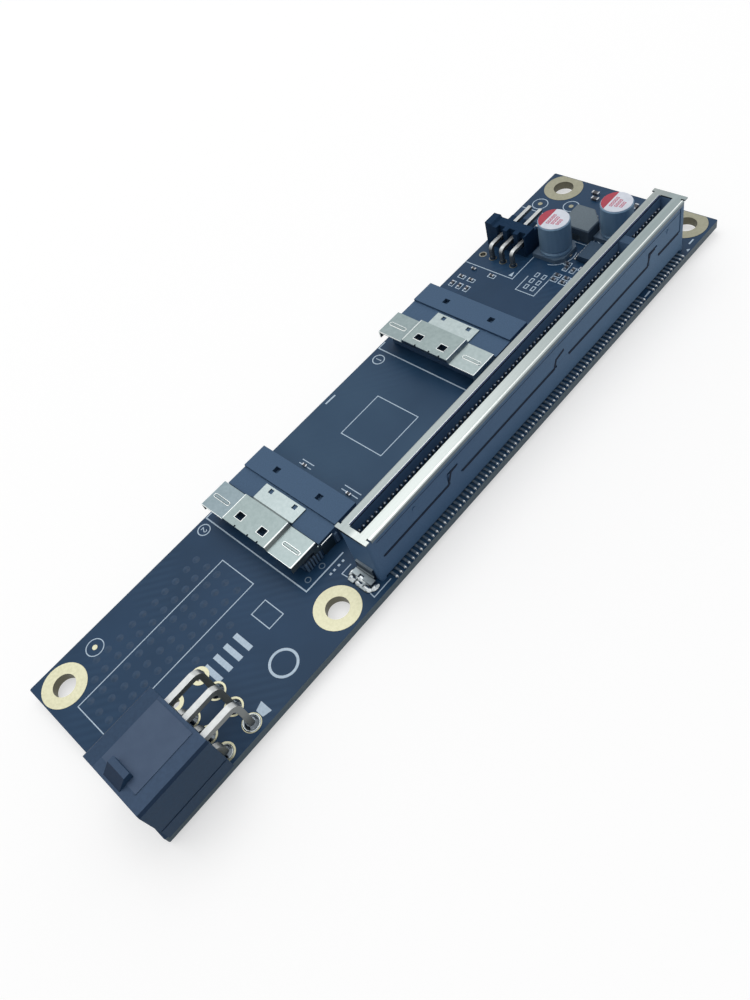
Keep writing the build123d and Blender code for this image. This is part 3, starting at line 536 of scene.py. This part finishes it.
def frame_steel():
    """Bright strip with long rolling lines, with a painted reflection that makes it lighter
    beside the board edge and near end, and painted shade on its walls.
    """
    material, tree, shader = new_shader("slot_steel", (0.5, 0.55, 0.54), 0.3, 1.0)
    rolling = noise(tree, 900, 3.0, (0.03, 1.0, 1.0))
    inner = ramp(tree, rolling, (0.29, 0.33, 0.33), (0.35, 0.39, 0.385))
    outer = ramp(tree, rolling, (0.28, 0.34, 0.345), (0.34, 0.40, 0.405))
    near_end_reflection = ramp(tree, rolling, (0.45, 0.49, 0.475), (0.55, 0.59, 0.575))
    outer = blend_colours(tree, along_card(tree, 125, 60), outer, near_end_reflection)
    shade = blend_colours(tree, across_card(tree, 5.1, 4.3), inner, outer)
    shade = blend_colours(tree, facing_up(tree, 0.3, 0.6), (0.11, 0.14, 0.16), shade)
    paint(tree, shader, shade, rolling, 0.26, 0.34)
    return material


def raised(shape, height):
    """The same shape, lifted to a height over the board."""
    points, faces = shape
    return points + np.array([0.0, 0.0, height]), faces


def bead(points, radius, height, closed=False):
    """A thin bead along a flat path: a hexagon of points carried along a rolled or cut edge."""
    turn = np.arange(6) * math.pi / 3
    profile = np.column_stack([radius * np.cos(turn), radius * np.sin(turn)])
    return raised(carry(points, profile, closed), height)


dress(frame_steel(), "slot_frame")
highlight_steel = finish_with_grain("painted_highlight_steel", (0.84, 0.88, 0.87), (0.93, 0.96, 0.95), 0.22,
                              2000, 0.0, metallic=1.0)
# The tilted strip on the outer fold and the bead on the inner edge are painted highlights.
fold_profile = [(-0.17, -0.08), (0.17, -0.06), (0.17, 0.035), (-0.17, -0.03)]
outer_fold = [(slot_near + outer_margin, slot_side_y), (slot_far - outer_margin, slot_side_y)]
inner_fold = [(slot_near + inner_margin, 6.27), (slot_far - inner_margin, 6.27)]
build("slot_frame_edge_highlights",
      [raised(carry(outer_fold, fold_profile), slot_top), bead(inner_fold, 0.04, slot_top)],
      highlight_steel)

# Contacts are stamped spring strips of plated copper alloy, pressed into the mouldings. Each foot
# of the slot's contacts is soldered to the board and ends in a lump of solder, painted near-white
# as a highlight. Small pale domes on the slot's contact tips are painted highlights.
foot_rows = (0.42, 9.08)
tip_y, tip_z = 5.62, 8.95
contact_xs = [50.8 + i for i in range(71)] + [123.8 + i for i in range(11)]
contact_metal = finish_with_grain("contact_metal", (0.15, 0.20, 0.25), (0.27, 0.33, 0.38), 0.34,
                                  3000, 0.0, metallic=0.6)
dress(contact_metal, "slot_contacts_edge_side", "slot_contacts_inner_side",
      *[f"receptacle_{i}_{row}_contacts" for i in (1, 2) for row in ("upper", "lower")])
solder_painted_highlight = finish_with_grain("solder_painted_highlight", (0.88, 0.93, 0.95), (0.96, 0.98, 0.98), 0.3,
                                  900, 0.000006, metallic=0.5)
build("slot_foot_solder",
      [dome(x, y, 0.0, (0.26, 0.36, 0.36)) for x in contact_xs for y in foot_rows],
      solder_painted_highlight, smooth=True)
tip_painted_highlight = finish_with_grain("tip_painted_highlight", (0.75, 0.85, 0.95), (0.95, 0.98, 1.0), 0.4, 700,
                                0.0)
build("slot_contact_tip_highlights",
      [dome(x, tip_y, tip_z, (0.17, 0.14, 0.2), 3, 8) for x in contact_xs],
      tip_painted_highlight, smooth=True)

# The slot's hold-downs are folded strips of tinned metal. Their feet are soldered to the board
# at both ends of the slot, and the near one stands in a pool of solder.
plate_x0, plate_x1, plate_low, plate_high = 46.9, 48.0, 0.55, 0.85


def folded_tin(name, wall, dark, light):
    """Tinned metal with painted light and shade: pale on its flat top faces and darker on its
    walls.
    """
    material, tree, shader = new_shader(name, dark, 0.36, 0.8)
    grain = noise(tree, 1500, 4.0)
    shade = blend_colours(tree, facing_up(tree, 0.4, 0.8), wall, ramp(tree, grain, dark, light))
    paint(tree, shader, shade, grain, 0.3, 0.42)
    return material


anchor_metal = folded_tin("anchor_metal", (0.04, 0.065, 0.10), (0.26, 0.31, 0.33),
                          (0.37, 0.42, 0.44))
dress(anchor_metal, "slot_anchor_near", "slot_anchor_far")
wet_solder = finish_with_grain("wet_solder", (0.30, 0.34, 0.36), (0.76, 0.80, 0.81), 0.2, 1500,
                               0.00008, metallic=1.0)
build("slot_anchor_solder",
      [dome(x, y, 0.0, radii, 4, 12) for x, y, radii in (
          (46.3, 2.9, (0.7, 1.1, 0.65)), (46.25, 4.6, (0.6, 1.0, 0.6)),
          (46.35, 6.2, (0.7, 0.95, 0.7)), (47.3, 1.95, (1.0, 0.6, 0.55)),
          (47.2, 7.0, (0.9, 0.5, 0.5)), (47.3, 4.75, (0.8, 2.2, 0.62)))],
      wet_solder, smooth=True)
build("slot_anchor_plate",
      [box(x0, plate_x1, y0, y1, plate_low, plate_high)
       for x0, y0, y1 in ((plate_x0, 2.35, 4.3), (plate_x0, 5.3, 6.7), (47.55, 4.3, 5.3))],
      anchor_metal)

# Each cable receptacle is a dark moulding under a stamped steel shell, whose cut and folded edges
# carry painted highlights: thin near-white beads and strips. Its places are measured from its
# mating face and its middle line, and its heights from the board.
receptacle_y = 24.6
ear_top, arch_top = 4.6, 5.35
window_offset, window_half_width = 2.8, 0.88
rib_x, rib_offset = 2.75, 8.9
rib_outline = [(-0.37, -1.7), (-0.2, -1.98), (0.2, -1.98), (0.37, -1.7),
               (0.37, 1.7), (0.2, 1.98), (-0.2, 1.98), (-0.37, 1.7)]


def shell_steel(number, front, shaded_ear, near_ear_highlight, wall):
    """Satin stamped sheet, with painted light: a painted highlight on its tongue and, by a set
    amount, on the ear by the slot; painted shade, by a set amount, on the ear by the board's
    edge; and a painted shade of its own on its upright walls."""
    material, tree, shader = new_shader(f"shell_steel_{number}", (0.4, 0.44, 0.42), 0.34, 1.0)
    grain = noise(tree, 1500, 5.0)
    plain = ramp(tree, grain, (0.26, 0.32, 0.32), (0.31, 0.375, 0.375))
    far_ear = combine(tree, "MULTIPLY",
                      across_card(tree, receptacle_y + 5.5, receptacle_y + 5.8), shaded_ear)
    plain = blend_colours(tree, far_ear, plain,
                          ramp(tree, grain, (0.213, 0.273, 0.30), (0.255, 0.32, 0.35)))
    highlight_colour = ramp(tree, grain, (0.38, 0.45, 0.455), (0.45, 0.52, 0.525))
    tongue = along_card(tree, front + 6.0, front + 6.2)
    ear = across_card(tree, receptacle_y - 5.6, receptacle_y - 5.9)
    light = combine(tree, "MAXIMUM", tongue, combine(tree, "MULTIPLY", ear, near_ear_highlight))
    shade = blend_colours(tree, light, plain, highlight_colour)
    shade = blend_colours(tree, facing_up(tree, 0.4, 0.8), wall, shade)
    paint(tree, shader, shade, grain, 0.28, 0.4)
    return material


# Painted light and shade: the housing's top is lighter than its sides, and the side ribs, which
# lie in shade, are painted lighter to stand out.
receptacle_plastic = moulded("receptacle_plastic", (0.074, 0.133, 0.225), (0.05, 0.098, 0.175),
                             0.5, 4000, 0.000008, 0.1)
rib_painted_light = moulded("receptacle_rib_painted_light", (0.14, 0.21, 0.31), (0.11, 0.18, 0.28), 0.5, 4000,
                      0.000008, 0.1)
# each: its number, its mating face, how far the far ear is in painted shade, how far the near ear
# gets a painted highlight, and its painted wall colour
for number, front, *shades in ((1, 87.55, 0.3, 0.55, (0.40, 0.44, 0.44)),
                               (2, 40.65, 1.0, 0.35, (0.17, 0.19, 0.19))):
    dress(receptacle_plastic, f"receptacle_{number}_housing", f"receptacle_{number}_rear_cover")
    dress(shell_steel(number, front, *shades), f"receptacle_{number}_shell")
    lip_x, step_x = front + 0.05, front + 5.75
    # the edges are painted highlights in near-white steel
    edges, ribs = [], []
    # on each side: a latch window, the long rib pressed into the ear, and the ear's front edge
    for side in (-1, 1):
        window_y = receptacle_y + side * window_offset
        edges.append(bead(corners(front + 1.33, front + 2.78, window_y - window_half_width,
                                  window_y + window_half_width), 0.07, arch_top, True))
        rib_y = receptacle_y + side * rib_offset
        edges.append(bead([(front + rib_x + px, rib_y + py) for px, py in rib_outline], 0.085,
                          ear_top + 0.03, True))
        edges.append(bead([(lip_x, receptacle_y + side * 5.95),
                           (lip_x, receptacle_y + side * 11.4)], 0.06, ear_top - 0.04))
    # edges that run back from the mating face, and the cut edge low on the slot side
    for y, top in ((receptacle_y - 11.42, ear_top), (receptacle_y - 5.34, arch_top)):
        edges.append(bead([(lip_x, y), (step_x, y)], 0.12, top - 0.05))
    edges.append(box(front + 0.1, front + 5.7, receptacle_y + 5.24, receptacle_y + 5.38,
                     arch_top - 0.02, arch_top + 0.02))
    edges.append(box(front + 6.4, front + 9.0, 12.78, 12.88, 3.2, 3.34))
    # two rows of ribs, each by its start, step, number, width, and limits across and up
    for first, step, count, width, *limits in ((2.4, 0.62, 6, 0.35, 13.0, 13.45, 0.1, 2.1),
                                               (9.3, 1.1, 5, 0.6, 12.8, 13.1, 0.4, 2.6)):
        ribs += [box(front + first + step * i, front + first + width + step * i, *limits)
                 for i in range(count)]
    build(f"receptacle_{number}_edge_highlights", edges, highlight_steel)
    build(f"receptacle_{number}_side_ribs", ribs, rib_painted_light)

# The power header is one dark satin moulding, lightly worn on the raised face of its top. Its
# square pins are bent from tinned wire, pressed in from behind and soldered into the board.
header_top = 10.0
# Painted shade: the header's sides and slopes are darker than its top.
header_plastic = moulded("header_plastic", (0.058, 0.098, 0.170), (0.034, 0.076, 0.145), 0.45,
                         2200, 0.000012, 0.1, slope=(0.018, 0.038, 0.078))
dress(header_plastic, "power_header_housing")
worn_plastic = finish_with_grain("worn_plastic", (0.058, 0.092, 0.158), (0.082, 0.124, 0.200),
                                 0.42, 170, 0.00003, specular=0.15)
build("power_header_platform_face",
      [box(2.45, 12.9, 2.24, 10.45, header_top - 0.01, header_top + 0.115)],
      worn_plastic)
# Two dark strips along the edges of the raised face are painted shade.
shaded_plastic = moulded("shaded_plastic", (0.042, 0.078, 0.142), (0.03, 0.06, 0.11), 0.45, 2200,
                         0.000012, 0.1)
build("power_header_shaded_edges",
      [box(2.3, 12.9, 10.45, 10.54, header_top + 0.02, header_top + 0.11),
       box(0.75, 13.45, 10.6, 12.85, header_top - 0.01, header_top + 0.012)],
      shaded_plastic)
tinned = folded_tin("tinned_metal", (0.20, 0.215, 0.215), (0.50, 0.52, 0.52), (0.60, 0.62, 0.62))
dress(tinned, *[f"power_pin_{row}_{i}" for row in ("upper", "lower") for i in (1, 2, 3)])

# The small header is a dark satin moulding with three bent pins of the same tinned wire. Its
# fourth hole is left empty.
small_plastic = finish_with_grain("small_header_plastic", (0.012, 0.034, 0.074),
                                  (0.018, 0.044, 0.092), 0.45, 2500, 0.00001, specular=0.02)
dress(small_plastic, "aux_header_housing")
dress(tinned, *[f"aux_pin_{i}" for i in (1, 2, 3)])

# Solder wets each pin of both headers and its ring; its dark colour is a painted reflection of
# the dark parts around it.
# On two rings of the power header it stands up as a bright collar.
first_pin_y, far_row_x, near_row_x = 2.2, 19.5, 14.0
solder = finish_with_grain("solder", (0.10, 0.12, 0.14), (0.22, 0.25, 0.28), 0.22, 1800,
                           0.00003, metallic=1.0)
dress(solder, "power_solder_joints", "aux_solder_joints")
build("power_ring_solder",
      [bead(circle_points(far_row_x, first_pin_y, 1.32, 32), 0.17, 0.08, True),
       bead(circle_points(near_row_x, first_pin_y, 1.1, 32), 0.12, 0.12, True)],
      wet_solder, smooth=True)

# Each capacitor is a drawn aluminium can, rolled in over a plastic base; the blue in its
# blue-grey colour is a painted reflection of the board round it.
# Its top is printed white, with a red segment for the polarity and rows of small open boxes.
can_top, top_radius, segment_edge = 7.7, 2.97, 1.2
mark_half_length, mark_half_width = 0.17, 0.26
mark_rows = ((0.45, (-1.35, -0.75, -0.15, 0.45, 1.05)), (-0.5, (-1.1, -0.5, 0.1, 0.7)),
             (-1.45, (-0.9, -0.3, 0.3)))
can_side = finish_with_grain("can_aluminium", (0.155, 0.265, 0.39), (0.19, 0.31, 0.44), 0.42,
                             1500, 0.000002, metallic=0.2, stretch=(1.0, 1.0, 0.1))
base_plastic = finish_with_grain("base_plastic", (0.085, 0.135, 0.195), (0.105, 0.16, 0.23),
                                 0.42, 2500, 0.00001, specular=0.4)
top_white = finish_with_grain("capacitor_top_white", (0.66, 0.70, 0.78), (0.74, 0.78, 0.86), 0.5,
                              900, 0.000006, specular=0.3)
top_red = finish_with_grain("capacitor_top_red", (0.40, 0.045, 0.075), (0.48, 0.06, 0.095), 0.5,
                            900, 0.000004, specular=0.3)
top_ink = finish_with_grain("capacitor_top_ink", (0.50, 0.075, 0.14), (0.58, 0.11, 0.19), 0.5,
                            2600, 0.000004, specular=0.3)
half_angle = math.degrees(math.asin(segment_edge / top_radius))
for number, (x, y) in enumerate(capacitor_places, start=1):
    dress(can_side, f"capacitor_{number}_can")
    dress(base_plastic, f"capacitor_{number}_base")
    dress(tinned, f"capacitor_{number}_leads")
    build(f"capacitor_{number}_top",
          [slab(circle_points(x, y, top_radius, 64), can_top - 0.1, can_top + 0.02)],
          top_white)
    segment = circle_points(x, y, top_radius - 0.02, 30, half_angle, 180 - half_angle)
    build(f"capacitor_{number}_polarity_mark",
          [slab(segment, can_top, can_top + 0.035)], top_red)
    marks = [corners(x + dx - mark_half_length, x + dx + mark_half_length,
                     y + row - mark_half_width, y + row + mark_half_width)
             for row, offsets in mark_rows for dx in offsets]
    build(f"capacitor_{number}_top_marks",
          [raised(carry(mark, strip(0.13, 0.02), True), can_top + 0.015) for mark in marks],
          top_ink)

# The inductor is a block pressed from grey metal powder round its coil. Its two terminals are
# tinned strips folded under it.
inductor_powder = moulded("inductor_powder", (0.155, 0.195, 0.225), (0.075, 0.105, 0.140), 0.55,
                          4000, 0.00001, 0.15)
dress(inductor_powder, "inductor_body")
dress(tinned, "inductor_terminals")

# The voltage regulator is a package of dark epoxy moulded round its leads, which are tinned
# and bent down to the board.
regulator_epoxy = moulded("regulator_epoxy", (0.040, 0.078, 0.130), (0.024, 0.050, 0.090), 0.4,
                          2500, 0.00001, 0.15)
dress(regulator_epoxy, "regulator_body")
dress(tinned, "regulator_leads")

# Chip resistors and capacitors are fired ceramic with tinned ends, soldered flat to the
# board.
chip_ceramic = finish_with_grain("chip_ceramic", (0.03, 0.035, 0.045), (0.06, 0.06, 0.07), 0.45,
                                 4000, 0.00001)
dress(chip_ceramic, "chip_bodies")
chip_ends = finish_with_grain("chip_end_metal", (0.45, 0.48, 0.52), (0.60, 0.63, 0.66), 0.35,
                              2600, 0.000008, metallic=1.0)
dress(chip_ends, "chip_end_caps")

# The card is shown on a plain floor in soft studio light. The floor is pale grey in itself
# and keeps the shadow, and a glow that only the camera and mirrors see lifts it to white.
floor_half, floor_gap, floor_glow = 3.0, 0.0002, 0.555


def seen_in_mirrors(tree):
    """1 for what the camera sees, itself or in a reflection or through glass."""
    rays = tree.nodes.new("ShaderNodeLightPath").outputs
    mirrored = combine(tree, "MAXIMUM", rays["Is Glossy Ray"], rays["Is Transmission Ray"])
    return combine(tree, "MAXIMUM", rays["Is Camera Ray"], mirrored)


bpy.ops.mesh.primitive_plane_add(size=2 * floor_half)
floor = bpy.context.object
floor.name = "floor"
floor.location.z = size_before[0].z - floor_gap
white, tree, shader = new_shader("white_floor", (0.5, 0.5, 0.5), 0.8, 0.0, 0.1)
glow = tree.nodes.new("ShaderNodeEmission")
feed(tree, glow.inputs["Color"], (1.0, 1.0, 1.0))
feed(tree, glow.inputs["Strength"],
     combine(tree, "MULTIPLY", seen_in_mirrors(tree), floor_glow))
total = tree.nodes.new("ShaderNodeAddShader")
tree.links.new(shader.outputs["BSDF"], total.inputs[0])
tree.links.new(glow.outputs["Emission"], total.inputs[1])
tree.links.new(total.outputs["Shader"], tree.nodes["Material Output"].inputs["Surface"])
floor.data.materials.append(white)

# The studio is a pale room: bright near the floor, dim at middle height, and brightest
# overhead. It is dimmer on the sides that the slot and the near end face. The camera and
# mirrors see plain white.
brightest = 1.7
levels_by_height = [(0.0, 0.6), (0.174, 0.6), (0.342, 0.52), (0.63, 0.55), (0.74, 0.78),
                    (0.85, 1.45), (1.0, brightest)]
world = bpy.data.worlds.new("studio")
bpy.context.scene.world = world
world.use_nodes = True
tree = world.node_tree
direction = tree.nodes.new("ShaderNodeTexCoord").outputs["Generated"]
heights = tree.nodes.new("ShaderNodeSeparateXYZ")
tree.links.new(direction, heights.inputs["Vector"])
levels = tree.nodes.new("ShaderNodeValToRGB")
elements = levels.color_ramp.elements
for place, level in levels_by_height[1:-1]:
    elements.new(place)
for element, (place, level) in zip(elements, levels_by_height):
    element.position = place
    element.color = (level / brightest, level / brightest, level / brightest, 1.0)
tree.links.new(heights.outputs["Z"], levels.inputs["Fac"])
towards = tree.nodes.new("ShaderNodeVectorMath")
towards.operation = "DOT_PRODUCT"
tree.links.new(direction, towards.inputs[0])
towards.inputs[1].default_value = (0.45, 0.89, 0.0)
side_light = spread(tree, towards.outputs["Value"], 0.45, 1.0, -0.6, 0.3)
sky_colour = tree.nodes.new("ShaderNodeVectorMath")
sky_colour.operation = "SCALE"
tree.links.new(levels.outputs["Color"], sky_colour.inputs[0])
tree.links.new(side_light, sky_colour.inputs["Scale"])
sky = tree.nodes["Background"]
tree.links.new(sky_colour.outputs["Vector"], sky.inputs["Color"])
feed(tree, sky.inputs["Strength"], brightest)
backdrop = tree.nodes.new("ShaderNodeBackground")
feed(tree, backdrop.inputs["Color"], (1.0, 1.0, 1.0))
feed(tree, backdrop.inputs["Strength"], 1.0)
mix = tree.nodes.new("ShaderNodeMixShader")
tree.links.new(seen_in_mirrors(tree), mix.inputs["Fac"])
tree.links.new(sky.outputs["Background"], mix.inputs[1])
tree.links.new(backdrop.outputs["Background"], mix.inputs[2])
tree.links.new(mix.outputs["Shader"], tree.nodes["World Output"].inputs["Surface"])

# One large soft lamp hangs high over the far end and the cable side of the card, opposite the
# camera, and points at the card's middle.
lamp = bpy.data.lights.new("overhead", "AREA")
lamp.energy = 0.8
lamp.size = 0.5
overhead = bpy.data.objects.new("overhead", lamp)
bpy.context.collection.objects.link(overhead)
overhead.location = (0.1, 0.25, 0.7)
overhead.rotation_mode = "QUATERNION"
overhead.rotation_quaternion = (-overhead.location).to_track_quat("-Z", "Y")

# The camera looks down on the near short edge of the card, as the photograph does. It is
# turned a little about its own line of sight, so that the card lies across the picture.
camera_data = bpy.data.cameras.new("camera")
camera_data.sensor_fit = "VERTICAL"
camera_data.sensor_height = 36.0
camera_data.lens = 30.9
camera_data.clip_start = 0.001
camera = bpy.data.objects.new("camera", camera_data)
bpy.context.collection.objects.link(camera)
right = Vector((0.6522, -0.7203, -0.2363)).normalized()
back = Vector((-0.3045, -0.5343, 0.7885)).normalized()
up = back.cross(right).normalized()
camera.rotation_mode = "QUATERNION"
camera.rotation_quaternion = Matrix((right, up, back)).transposed().to_quaternion()
camera.location = (-0.05719, -0.08288, 0.11616)
bpy.context.scene.camera = camera

bpy.context.scene.view_settings.view_transform = "Standard"
